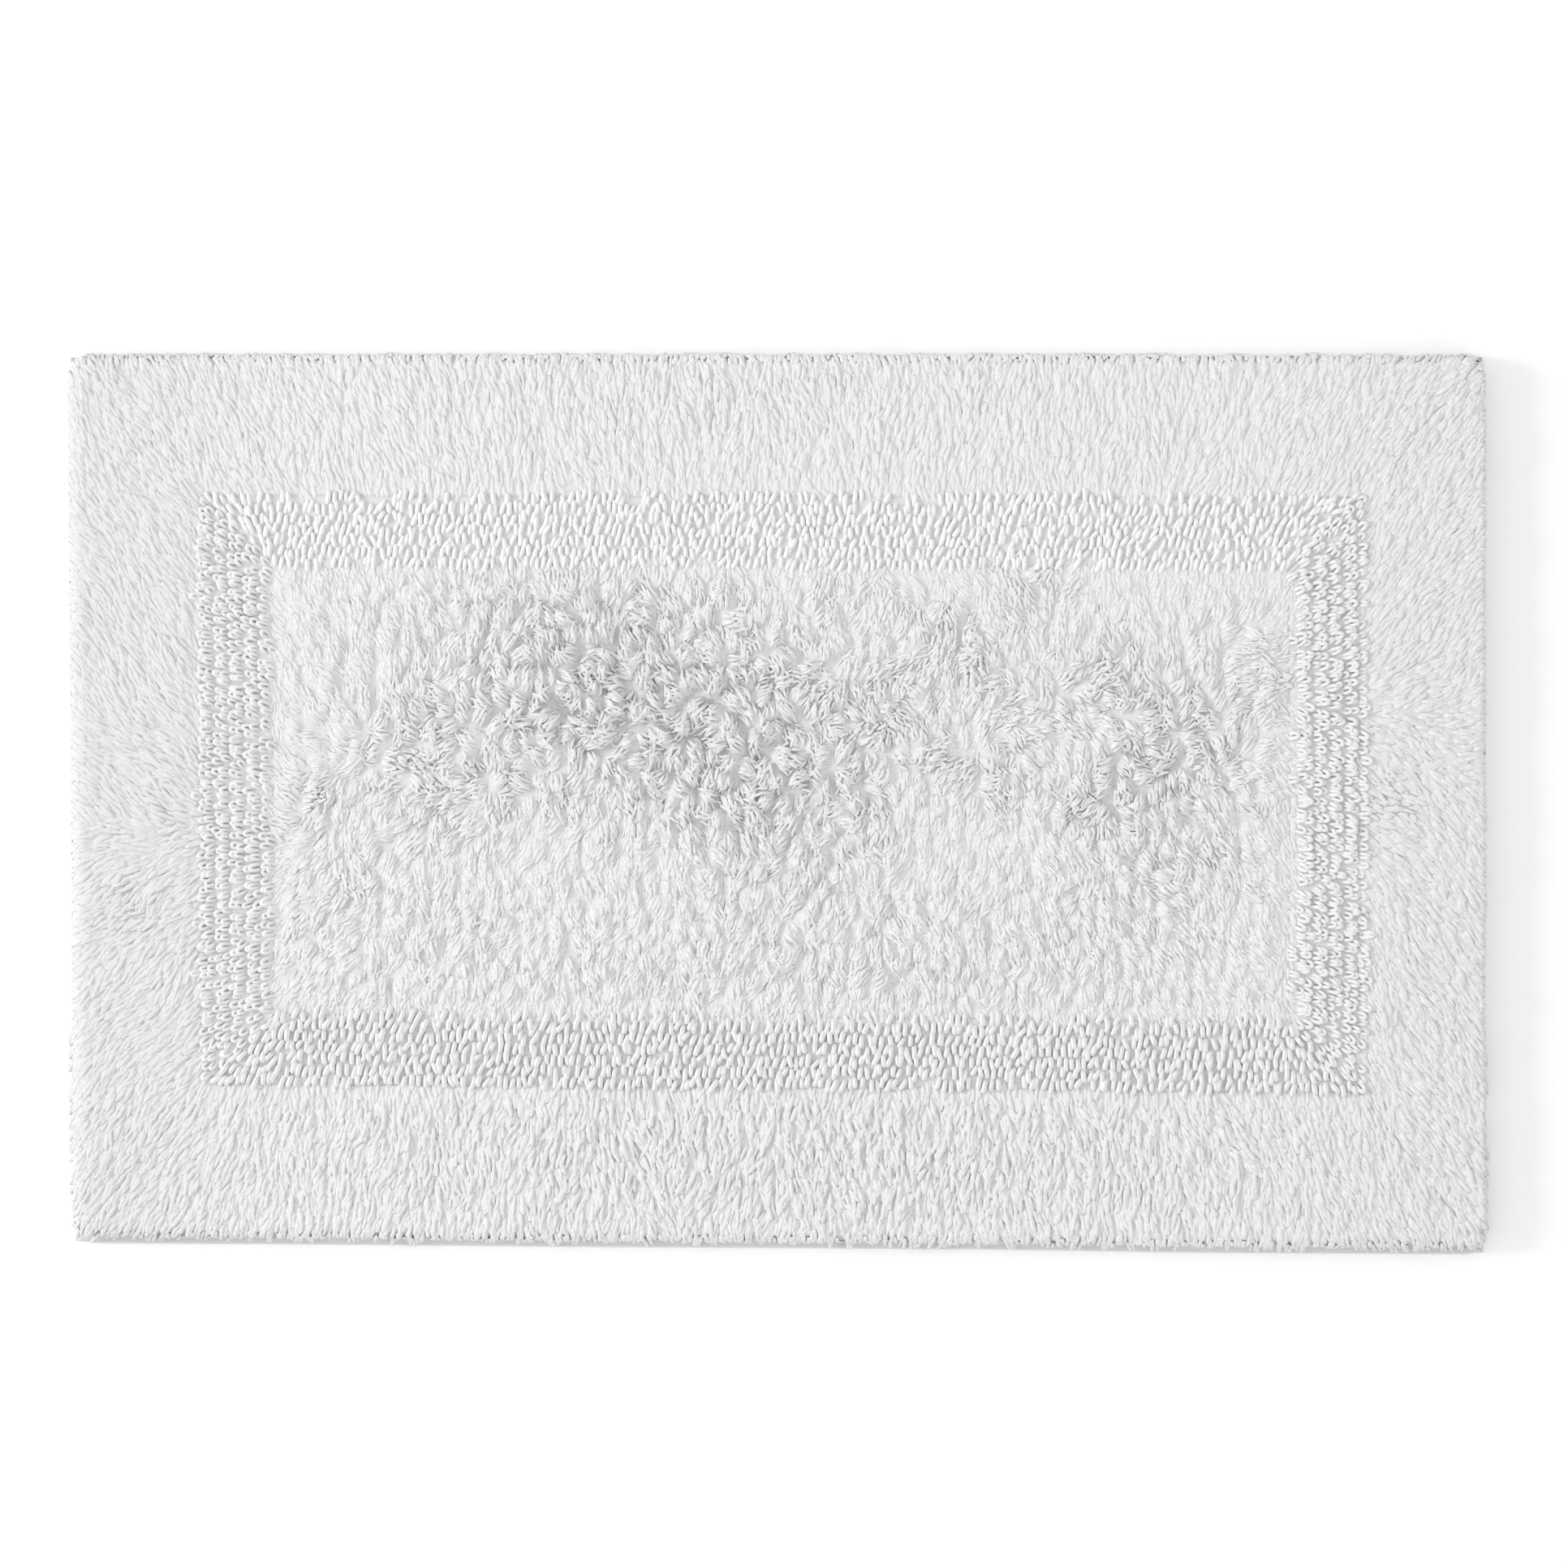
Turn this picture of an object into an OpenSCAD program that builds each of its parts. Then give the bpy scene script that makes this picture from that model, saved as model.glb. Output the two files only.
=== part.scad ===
// Tufted cotton bath mat: a woven cloth with cut and looped pile, a turned hem and a latex coating underneath.
// It lies flat. +X runs along its length, +Y towards its back edge, +Z up, and the floor is at z = 0.

/* [Mat] */
// Length of the mat from hem to hem
mat_length = 800; // [600:5:1000]
// Width of the mat from hem to hem
mat_width = 505; // [450:5:700]
// Radius of the mat's corners in plan
corner_radius = 11; // [4:1:20]

/* [Backing] */
// Thickness of the woven cloth that the yarn is tufted through
cloth_thickness = 1; // [0.6:0.1:2]
// Thickness of the latex coating, and of the hem turned under beside it
underside_thickness = 0.9; // [0.6:0.1:1.6]
// Width of the turned hem
hem_width = 14; // [10:1:25]

/* [Hem stitching] */
// Distance from the mat's edge to the row of lockstitch
stitch_inset = 9; // [6:0.5:9]
// Distance from one stitch to the next
stitch_pitch = 4; // [3:0.5:8]
// Length of thread that shows in each stitch
stitch_length = 2.8; // [1.5:0.1:2.8]
// Width of the thread
thread_width = 0.8; // [0.4:0.1:1.2]
// Depth that the thread sinks into the hem
thread_depth = 0.4; // [0.2:0.1:0.5]

/* [Pile] */
// Height of the cut pile above the backing cloth
cut_pile_height = 18; // [10:1:30]
// Height of the uncut loops above the backing cloth
loop_pile_height = 16; // [8:1:30]
// Strip of bare hem between the mat's edge and the foot of the pile
bare_edge = 2.5; // [1:0.5:5]
// Radius of the shoulder where the outer pile falls away to the hem
shoulder_radius = 9; // [4:0.5:9]

/* [Looped frame] */
// Distance from the mat's left edge to the looped frame
border_left = 77; // [50:1:110]
// Distance from the mat's right edge to the looped frame
border_right = 73; // [50:1:110]
// Distance from the mat's front edge to the looped frame
border_front = 92; // [50:1:110]
// Distance from the mat's back edge to the looped frame
border_back = 81; // [50:1:110]
// Width of the looped frame
frame_width = 39; // [20:1:50]

/* [Hidden] */

$fn = 48;
cloth_top = underside_thickness + cloth_thickness;
// Clearance between the thread and the sides of the groove that it lies in
groove_clearance = 0.2;
// Bare length left at each end of a row of stitches
stitch_end_gap = 8;
// Extra length on a cutting shape, so that it passes right through
past = 1;

pile_white = [0.94, 0.94, 0.93];
loop_white = [0.9, 0.9, 0.89];
cloth_white = [0.86, 0.86, 0.84];
latex_cream = [0.85, 0.83, 0.76];
thread_white = [0.97, 0.97, 0.96];

// Each rectangle is [low x, low y, high x, high y]
mat_rect = [-mat_length / 2, -mat_width / 2, mat_length / 2, mat_width / 2];
hem_inner_rect = inset(mat_rect, [hem_width, hem_width, hem_width, hem_width]);
pile_rect = inset(mat_rect, [bare_edge, bare_edge, bare_edge, bare_edge]);
frame_outer_rect = inset(mat_rect, [border_left, border_front, border_right, border_back]);
frame_inner_rect = inset(frame_outer_rect, [frame_width, frame_width, frame_width, frame_width]);

// A rectangle drawn in from its left, front, right and back sides
function inset(rect, by) = [rect[0] + by[0], rect[1] + by[1], rect[2] - by[2], rect[3] - by[3]];

// The four corners of a rectangle, anticlockwise from front left
function corners(rect) = [
    [rect[0], rect[1]],
    [rect[2], rect[1]],
    [rect[2], rect[3]],
    [rect[0], rect[3]]
];

// Number of a side's first corner. The next corner round is its other end.
function side_start(side) =
    side == "front" ? 0
    : side == "right" ? 1
    : side == "back" ? 2
    : 3;

// One side of the band between two rectangles, with mitred ends: four points
function band_side(outer, inner, side) =
    let (a = side_start(side), b = (a + 1) % 4)
    [corners(outer)[a], corners(outer)[b], corners(inner)[b], corners(inner)[a]];

// The mat's outline, or one drawn in from it, with round corners
module rounded_plate(rect, radius, height) {
    span = [rect[2] - rect[0], rect[3] - rect[1]];
    translate([rect[0], rect[1], 0])
    linear_extrude(height)
    union() {
        translate([radius, 0])
        square([span[0] - 2 * radius, span[1]]);
        translate([0, radius])
        square([span[0], span[1] - 2 * radius]);
        for (x = [radius, span[0] - radius], y = [radius, span[1] - radius])
            translate([x, y])
            circle(radius);
    }
}

module band_plate(outer, inner, side, height) {
    linear_extrude(height)
    polygon(band_side(outer, inner, side));
}

// Moves a shape built along the front edge, with its length on X and y = 0 at the edge, to any side
module place_on_side(side) {
    if (side == "front")
        translate([0, -mat_width / 2, 0])
        children();
    if (side == "back")
        translate([0, mat_width / 2, 0])
        rotate([0, 0, 180])
        children();
    if (side == "left")
        translate([-mat_length / 2, 0, 0])
        rotate([0, 0, -90])
        children();
    if (side == "right")
        translate([mat_length / 2, 0, 0])
        rotate([0, 0, 90])
        children();
}

function side_length(side) = (side == "front" || side == "back") ? mat_length : mat_width;

module backing_cloth() {
    color(cloth_white)
    translate([0, 0, underside_thickness])
    rounded_plate(mat_rect, corner_radius, cloth_thickness);
}

module latex_coating() {
    inner_span = [hem_inner_rect[2] - hem_inner_rect[0], hem_inner_rect[3] - hem_inner_rect[1]];
    color(latex_cream)
    translate([hem_inner_rect[0], hem_inner_rect[1], 0])
    cube([inner_span[0], inner_span[1], underside_thickness]);
}

// The cloth's edge turned under, with a shallow groove where the lockstitch pulls in
module hem(side) {
    groove_width = thread_width + 2 * groove_clearance;
    groove_length = side_length(side) - 2 * stitch_end_gap - 2 * stitch_inset + 2 * groove_clearance;
    color(cloth_white)
    difference() {
        intersection() {
            band_plate(mat_rect, hem_inner_rect, side, underside_thickness);
            rounded_plate(mat_rect, corner_radius, underside_thickness);
        }
        place_on_side(side)
        translate([-groove_length / 2, stitch_inset - groove_width / 2, -past])
        cube([groove_length, groove_width, thread_depth + past]);
    }
}

// A row of stitches that lie flush in the hem's groove
module hem_stitching(side) {
    row_length = side_length(side) - 2 * stitch_end_gap - 2 * stitch_inset;
    count = floor((row_length - stitch_length) / stitch_pitch) + 1;
    first = -(count - 1) * stitch_pitch / 2;
    color(thread_white)
    place_on_side(side)
    for (i = [0:count - 1])
        translate([first + i * stitch_pitch - stitch_length / 2, stitch_inset - thread_width / 2, 0])
        cube([stitch_length, thread_width, thread_depth]);
}

module cut_pile_centre() {
    span = [frame_inner_rect[2] - frame_inner_rect[0], frame_inner_rect[3] - frame_inner_rect[1]];
    color(pile_white)
    translate([frame_inner_rect[0], frame_inner_rect[1], cloth_top])
    cube([span[0], span[1], cut_pile_height]);
}

module loop_pile(side) {
    color(loop_white)
    translate([0, 0, cloth_top])
    band_plate(frame_outer_rect, frame_inner_rect, side, loop_pile_height);
}

// Cross-section of the outer pile: x runs in from its foot, y is height, with a round outer shoulder
module shoulder_profile(depth) {
    union() {
        square([depth, cut_pile_height - shoulder_radius]);
        translate([shoulder_radius, 0])
        square([depth - shoulder_radius, cut_pile_height]);
        translate([shoulder_radius, cut_pile_height - shoulder_radius])
        circle(shoulder_radius);
    }
}

// A straight run of the shoulder profile, long enough to pass both mitres
module shoulder_run(side) {
    depth = max(border_left, border_right, border_front, border_back);
    place_on_side(side)
    translate([-side_length(side) / 2, bare_edge, 0])
    rotate([90, 0, 90])
    linear_extrude(side_length(side))
    shoulder_profile(depth);
}

module cut_pile_border(side) {
    color(pile_white)
    translate([0, 0, cloth_top])
    intersection() {
        band_plate(pile_rect, frame_outer_rect, side, cut_pile_height);
        shoulder_run(side);
        rounded_plate(pile_rect, corner_radius, cut_pile_height);
    }
}

backing_cloth();
latex_coating();
hem("front");  // hem_front
hem("back");  // hem_back
hem("left");  // hem_left
hem("right");  // hem_right
hem_stitching("front");  // hem_stitching_front
hem_stitching("back");  // hem_stitching_back
hem_stitching("left");  // hem_stitching_left
hem_stitching("right");  // hem_stitching_right
cut_pile_centre();
loop_pile("front");  // loop_pile_front
loop_pile("back");  // loop_pile_back
loop_pile("left");  // loop_pile_left
loop_pile("right");  // loop_pile_right
cut_pile_border("front");  // cut_pile_border_front
cut_pile_border("back");  // cut_pile_border_back
cut_pile_border("left");  // cut_pile_border_left
cut_pile_border("right");  // cut_pile_border_right
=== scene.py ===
import math

import bpy
import numpy as np
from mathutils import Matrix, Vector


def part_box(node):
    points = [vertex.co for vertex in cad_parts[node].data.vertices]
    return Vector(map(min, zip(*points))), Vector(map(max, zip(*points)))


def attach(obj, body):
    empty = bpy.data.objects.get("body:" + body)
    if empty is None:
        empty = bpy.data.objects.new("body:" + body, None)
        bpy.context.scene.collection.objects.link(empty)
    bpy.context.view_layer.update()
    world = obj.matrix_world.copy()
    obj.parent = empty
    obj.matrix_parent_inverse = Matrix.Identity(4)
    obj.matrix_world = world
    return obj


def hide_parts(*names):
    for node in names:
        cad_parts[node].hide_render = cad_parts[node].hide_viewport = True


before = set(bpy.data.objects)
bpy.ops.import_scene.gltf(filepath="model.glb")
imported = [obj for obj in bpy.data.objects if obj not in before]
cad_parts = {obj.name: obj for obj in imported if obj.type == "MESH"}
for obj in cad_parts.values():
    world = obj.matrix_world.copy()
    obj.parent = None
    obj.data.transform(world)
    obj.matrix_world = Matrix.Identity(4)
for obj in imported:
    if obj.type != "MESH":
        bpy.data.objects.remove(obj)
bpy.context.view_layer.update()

mm = 0.001
sides = ["front", "right", "back", "left"]
print("frame loaded:", len(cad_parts), "nodes")


# Plan of the mat, read from the frame

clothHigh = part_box("backing_cloth")[1]
halfLength = clothHigh.x
halfWidth = clothHigh.y
clothTop = clothHigh.z

# each rectangle is (low x, low y, high x, high y)
matRect = (-halfLength, -halfWidth, halfLength, halfWidth)
bandOuter = (
    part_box("loop_pile_left")[0].x,
    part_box("loop_pile_front")[0].y,
    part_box("loop_pile_right")[1].x,
    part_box("loop_pile_back")[1].y,
)
centreLow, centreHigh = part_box("cut_pile_centre")
bandInner = (centreLow.x, centreLow.y, centreHigh.x, centreHigh.y)
footInset = 1.2 * mm  # the foot of the pile stops this far inside the mat's edge


def grow(rect, by):
    # A rectangle with each side moved outwards.
    return rect[0] - by, rect[1] - by, rect[2] + by, rect[3] + by


def rectCorners(rect):
    return [(rect[0], rect[1]), (rect[2], rect[1]), (rect[2], rect[3]), (rect[0], rect[3])]


footRect = grow(matRect, -footInset)


# Camera, straight above the mat

view = {
    "x": 4.1 * mm,  # how far right of the mat's centre the camera stands
    "y": 10.1 * mm,  # how far back of it
    "height": 2464 * mm,
    "lens": 100,
    "sensor": 36,
}


def addCamera():
    camera = bpy.data.objects.new("camera", bpy.data.cameras.new("camera"))
    bpy.context.collection.objects.link(camera)
    camera.location = (view["x"], view["y"], view["height"])
    camera.data.lens = view["lens"]
    camera.data.sensor_width = view["sensor"]
    camera.data.clip_start = 0.05
    camera.data.clip_end = 50
    bpy.context.scene.camera = camera


addCamera()


# Helpers for numbers over whole arrays

noiseSide = 256  # lattice points each way before a noise repeats


def smoothNoise(x, y, size, seed):
    # Random values from -1 to 1 on a square lattice, blended between neighbours with 3t^2 - 2t^3.
    table = np.random.default_rng(seed).uniform(-1, 1, (noiseSide, noiseSide))
    gridX = x / size
    gridY = y / size
    cellX = np.floor(gridX).astype(int)
    cellY = np.floor(gridY).astype(int)
    partX = gridX - cellX
    partY = gridY - cellY
    partX = partX * partX * (3 - 2 * partX)
    partY = partY * partY * (3 - 2 * partY)
    x0, x1 = cellX % noiseSide, (cellX + 1) % noiseSide
    y0, y1 = cellY % noiseSide, (cellY + 1) % noiseSide
    low = table[x0, y0] * (1 - partX) + table[x1, y0] * partX
    high = table[x0, y1] * (1 - partX) + table[x1, y1] * partX
    return low * (1 - partY) + high * partY


def ramp(value, start, end):
    # 0 before start, 1 after end, and 3t^2 - 2t^3 between.
    t = np.clip((value - start) / (end - start), 0, 1)
    return t * t * (3 - 2 * t)


def blend(pair, share):
    # From the first value at 0 to the second at 1.
    return pair[0] + (pair[1] - pair[0]) * share


def unit(vectors):
    return vectors / np.maximum(np.linalg.norm(vectors, axis=-1, keepdims=True), 1e-12)


def inside(x, y, rect):
    return (x > rect[0]) & (x < rect[2]) & (y > rect[1]) & (y < rect[3])


def sideOf(x, y, outer, inner):
    # The side of a mitred band that a point lies in: the one whose width it has crossed the most of.
    shares = np.stack([
        (inner[1] - y) / (inner[1] - outer[1]),
        (x - inner[2]) / (outer[2] - inner[2]),
        (y - inner[3]) / (outer[3] - inner[3]),
        (inner[0] - x) / (inner[0] - outer[0]),
    ])
    return np.argmax(shares, axis=0)


lay = {
    "skew": 3.2 * mm,  # the front edge runs out by this at the right corner, and in at the left
    "lean": 1.3 * mm,  # the left edge runs in by twice this at the front corner
    "wave": 0.5 * mm,  # slow waves in the edges
    "waveLength": 120 * mm,
}


def layDown(points):
    # The mat as it lies, a little out of square. y moves by the skew times x and by how near the front it
    # is, and x by twice the lean and by how near the left and the front it is. Both have slow waves.
    x = points[..., 0].copy()
    y = points[..., 1].copy()
    nearFront = 0.5 - y / (2 * halfWidth)
    nearLeft = 0.5 - x / (2 * halfLength)
    waveX = lay["wave"] * smoothNoise(y, x * 0.2, lay["waveLength"], 41)
    waveY = lay["wave"] * smoothNoise(x, y * 0.2, lay["waveLength"], 42)
    moved = points.copy()
    moved[..., 0] = x + lay["lean"] * nearLeft * nearFront * 2 + waveX
    moved[..., 1] = y - lay["skew"] * x / halfLength * nearFront + waveY
    return moved


# Meshes

def makePiece(name, points, faces, uvs=None, values=None, smooth=None):
    # faces is a list of index arrays, one array for each number of corners, and uvs matches it corner by
    # corner. smooth says face by face whether to blend the shading. A flat underside keeps it from
    # darkening the top.
    points = layDown(np.asarray(points, float).reshape(-1, 3))
    mesh = bpy.data.meshes.new(name)
    corners = np.concatenate([f.reshape(-1) for f in faces])
    counts = np.concatenate([np.full(len(f), f.shape[1]) for f in faces])
    starts = np.concatenate([[0], np.cumsum(counts)[:-1]])
    mesh.vertices.add(len(points))
    mesh.loops.add(len(corners))
    mesh.polygons.add(len(counts))
    mesh.vertices.foreach_set("co", points.astype(np.float32).ravel())
    mesh.loops.foreach_set("vertex_index", corners.astype(np.int32))
    mesh.polygons.foreach_set("loop_start", starts.astype(np.int32))
    mesh.polygons.foreach_set("use_smooth", np.ones(len(counts), bool) if smooth is None else smooth)
    if uvs is not None:
        layer = mesh.uv_layers.new(name="yarn")
        layer.data.foreach_set("uv", np.concatenate([u.reshape(-1) for u in uvs]).astype(np.float32))
    for key, data in (values or {}).items():
        attribute = mesh.attributes.new(key, "FLOAT", "POINT")
        attribute.data.foreach_set("value", np.asarray(data, np.float32).ravel())
    mesh.update(calc_edges=True)
    mesh.validate()
    piece = bpy.data.objects.new(name, mesh)
    bpy.context.collection.objects.link(piece)
    return piece


def tubeFaces(count, rings, around):
    # Quads between neighbouring rings, for count tubes that each have rings x around points in turn.
    tube = np.arange(count)[:, None, None] * rings * around
    ring = np.arange(rings - 1)[None, :, None] * around
    here = np.arange(around)[None, None, :]
    after = (here + 1) % around
    a = tube + ring + here
    b = tube + ring + after
    return np.stack([a, b, b + around, a + around], axis=-1).reshape(-1, 4)


def capFaces(count, rings, around, ring, turned):
    # One flat face over a tube's first or last ring.
    face = np.arange(count)[:, None] * rings * around + ring * around + np.arange(around)[None, :]
    return face[:, ::-1] if turned else face


def tubeUvs(count, rings, around, along):
    # u runs once round the tube and v is the distance along it. along has one value for each tube and ring.
    u0 = np.broadcast_to(np.arange(around) / around, (count, rings - 1, around))
    u1 = u0 + 1 / around
    v0 = np.broadcast_to(along[:, :-1, None], u0.shape)
    v1 = np.broadcast_to(along[:, 1:, None], u0.shape)
    return np.stack([u0, v0, u1, v0, u1, v1, u0, v1], axis=-1).reshape(-1, 8)


def tubePiece(name, points, count, rings, around, along, values=None, smooth=None):
    # Tubes with a flat cap at each end.
    faces = [
        tubeFaces(count, rings, around),
        capFaces(count, rings, around, 0, True),
        capFaces(count, rings, around, rings - 1, False),
    ]
    capUv = np.zeros((count, around * 2))
    uvs = [tubeUvs(count, rings, around, along), capUv, capUv]
    return makePiece(name, points, faces, uvs, values, smooth)


# How the pile lies

combed = {
    "sideways": 0.6,  # pull towards the ends, beside a pull of 1 towards the front and back
    "parting": (-34 * mm, 46 * mm),  # where it runs, from the mat's centre line, at the left and further on
    "partingShift": (-0.95, -0.15),  # between these places it moves over, in half lengths from the middle
    "wander": 42 * mm,  # how far it wanders from there
    "wanderSize": 38 * mm,
    "swirl": 0.26,  # slow turns of the pull
    "swirlSize": 24 * mm,
    "full": 0.45,  # pull at which the pile lies right over
    "unsettled": 100,  # degrees that tufts turn by where there is no pull
}
# places where the pile is ruffled, as (x, y, half length, half width, turn in degrees, how much)
ruffles = (
    (-110, 70, 75, 55, -25, 0.95),
    (-20, 10, 75, 45, -30, 0.85),
    (215, 0, 45, 70, -20, 0.6),
    (60, 60, 190, 60, 0, 0.3),
    (20, -90, 250, 50, 0, 0.4),
    (20, -200, 300, 45, 0, 0.38),
    (-30, 235, 130, 30, 0, 0.15),
    (-230, -10, 60, 120, 0, 0.25),
)
calm = 0.06  # ruffle everywhere else


def combing(x, y):
    # The pull is (sideways u^2, v^0.5) with the signs of u and v, plus slow noise. u is x in half
    # lengths, and v is the distance from the parting in half widths. Returns the direction that the pile
    # lies in and how far over it lies, from 0 to 1.
    shiftFrom, shiftTo = combed["partingShift"]
    parting = blend(combed["parting"], ramp(x, shiftFrom * halfLength, shiftTo * halfLength))
    parting = parting + combed["wander"] * smoothNoise(x, y, combed["wanderSize"], 3)
    u = x / halfLength
    v = (y - parting) / halfWidth
    pullX = combed["sideways"] * np.sign(u) * u ** 2
    pullX = pullX + combed["swirl"] * smoothNoise(x, y, combed["swirlSize"], 1)
    pullY = np.sign(v) * np.abs(v) ** 0.5 + combed["swirl"] * smoothNoise(x, y, combed["swirlSize"], 2)
    strength = np.hypot(pullX, pullY)
    return np.arctan2(pullY, pullX), np.clip(strength / combed["full"], 0, 1)


def ruffle(x, y):
    # The calm plus a sum of bells, each exp(-r^2) on its own turned axes.
    total = np.full(np.shape(x), calm)
    for midX, midY, halfX, halfY, turn, amount in ruffles:
        cosT, sinT = math.cos(math.radians(turn)), math.sin(math.radians(turn))
        dx, dy = x - midX * mm, y - midY * mm
        along = (dx * cosT + dy * sinT) / (halfX * mm)
        across = (dy * cosT - dx * sinT) / (halfY * mm)
        total = total + amount * np.exp(-(along ** 2) - across ** 2)
    return np.clip(total, 0, 1)


def scatter(rect, pitch, jitter, rng):
    # Points a pitch apart in rows, every other row half a pitch along, each moved at random by up to the
    # jitter.
    xs = np.arange(rect[0] + pitch / 2, rect[2], pitch)
    ys = np.arange(rect[1] + pitch / 2, rect[3], pitch * 0.87)
    x, y = np.meshgrid(xs, ys, indexing="ij")
    x = x + (np.arange(len(ys)) % 2)[None, :] * pitch / 2 - pitch / 4
    x = x + rng.uniform(-jitter, jitter, x.shape) * pitch
    y = y + rng.uniform(-jitter, jitter, y.shape) * pitch
    return x.ravel(), y.ravel()


tuftJitter = 0.76  # a tuft lies in this much of its cell
tuftBend = 0.42  # how far noise moves it, in pitches
tuftBendSize = 2.0  # of that noise, in pitches


def nearestTuft(x, y, pitch, stretch, seed):
    # The nearest point of a jittered grid, stretched along y and bent by noise, found among the nine
    # cells round each place, with the distance to it in pitches and a random number from 0 to 1 that goes
    # with it.
    table = np.random.default_rng(seed).uniform(0, 1, (noiseSide, noiseSide, 3))
    moveX = tuftBend * pitch * smoothNoise(x, y, tuftBendSize * pitch, seed + 100)
    moveY = tuftBend * pitch * smoothNoise(x, y, tuftBendSize * pitch, seed + 200)
    x = x + moveX
    y = (y + moveY) / stretch
    cellX = np.round(x / pitch).astype(int)
    cellY = np.round(y / pitch).astype(int)
    best = np.full(x.shape, np.inf)
    nearX, nearY, chance = x.copy(), y.copy(), x.copy()
    for stepX in (-1, 0, 1):
        for stepY in (-1, 0, 1):
            i = cellX + stepX
            j = cellY + stepY
            drawn = table[i % noiseSide, j % noiseSide]
            px = (i + tuftJitter * drawn[..., 0] - tuftJitter / 2) * pitch
            py = (j + tuftJitter * drawn[..., 1] - tuftJitter / 2) * pitch
            far = np.hypot(px - x, py - y)
            nearX = np.where(far < best, px, nearX)
            nearY = np.where(far < best, py, nearY)
            chance = np.where(far < best, drawn[..., 2], chance)
            best = np.minimum(best, far)
    return nearX - moveX, nearY * stretch - moveY, best / pitch, chance


# tufts of each region: how far apart, how much longer than wide, and a seed
tufts = {
    "centre": (8.8 * mm, 1.3, 51),
    "front": (5.6 * mm, 2.1, 52),
    "back": (5.6 * mm, 2.1, 53),
    "left": (6.5 * mm, 1.2, 54),
    "right": (6.5 * mm, 1.2, 55),
}


# Dense foot of the pile, which the strands and loops rise out of

foot = {
    "pitch": 2.6 * mm,
    "cutHeight": 16.0 * mm,
    "ruffleDrop": 0.5 * mm,  # it is this much lower where the pile is ruffled
    "loopHeight": 14.7 * mm,
    "bump": (0.45 * mm, 2.2 * mm),  # slow rises, where the pile is calm and where it is ruffled
    "bumpSize": 11 * mm,
    "dome": (0.8 * mm, 3.0 * mm),  # rise of each tuft, likewise
    "domeSize": 0.65,  # distance at which a dome has come down, in pitches of the tufts
    "toLoops": 14 * mm,  # beside the band it comes down to the loops over this distance
    "centreDome": 1.75,  # tufts in the centre rise this many times as much
    "shoulder": (9 * mm, 2.5 * mm),  # it falls away over this distance from the edge, and at the right end
    "rightEnd": (40 * mm, 10 * mm),  # the right end starts this far in, and is full here
    "edgeZone": 25 * mm,  # width of the strips that count as the front and the back edge
    "rim": (5 * mm, 8 * mm),  # height that it falls to at the front, and on the other sides
    "rimSlope": (0.5, 9.0),  # fall past the edge, beside the distance, likewise
    "hollow": (5 * mm, 3 * mm),  # at the front and back edges it is this much lower than the strands lie
    "hollowWidth": 6 * mm,
    "lift": 0.05 * mm,  # added to the height of the finished piece
    "least": 0.3 * mm,  # and it is at least this thick
    "frontBare": 3.2 * mm,  # extra bare strip at the front
    "cornerRadius": 10 * mm,
    "stray": 2.4 * mm,  # how far the band's edges stray in and out
    "straySize": 14 * mm,
    "cutShade": 0.5,  # painted shade in the gaps, where the foot shows between strands and loops: how much darker than the yarn it is coloured, in steps of the yarn's variation
    "loopShade": 2.6,
}


def edgeDistance(x, y):
    # Distance inside a rectangle with round corners, which stops short at the front.
    radius = foot["cornerRadius"]
    overX = np.abs(x) - (halfLength - footInset - radius)
    overY = np.abs(y) - (halfWidth - footInset - radius) + foot["frontBare"] * (y < 0)
    beyond = np.hypot(np.maximum(overX, 0), np.maximum(overY, 0))
    return radius - beyond - np.minimum(np.maximum(overX, overY), 0)


def stray(x, y):
    # Places moved by slow noise, for testing which side of the band's edges they are on.
    moveX = foot["stray"] * smoothNoise(x, y, foot["straySize"], 61)
    moveY = foot["stray"] * smoothNoise(x, y, foot["straySize"], 62)
    return x + moveX, y + moveY


def bandDistance(x, y):
    # Distance from the looped band, on either side of it.
    outside = np.max([bandOuter[0] - x, x - bandOuter[2], bandOuter[1] - y, y - bandOuter[3]], axis=0)
    within = np.min([x - bandInner[0], bandInner[2] - x, y - bandInner[1], bandInner[3] - y], axis=0)
    return np.maximum(outside, within)


def paintedShadeAndLight(x, y):
    # Painted shade and light: runs from the middle's value inside the band, which paints it lighter, to 0
    # outside it, and on to an end's value at its edge, which paints it darker.
    start = cutPile["endShadeFrom"] * halfLength
    left = cutPile["endShade"][0] * ramp(-x, start, halfLength)
    right = cutPile["endShade"][1] * ramp(x, start, halfLength)
    return left + right + cutPile["middleShade"] * inside(x, y, bandOuter)


def pastFront(y):
    # 0 at the front edge, and 1 from the edge zone inwards.
    return ramp(y, -halfWidth, foot["edgeZone"] - halfWidth)


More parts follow.
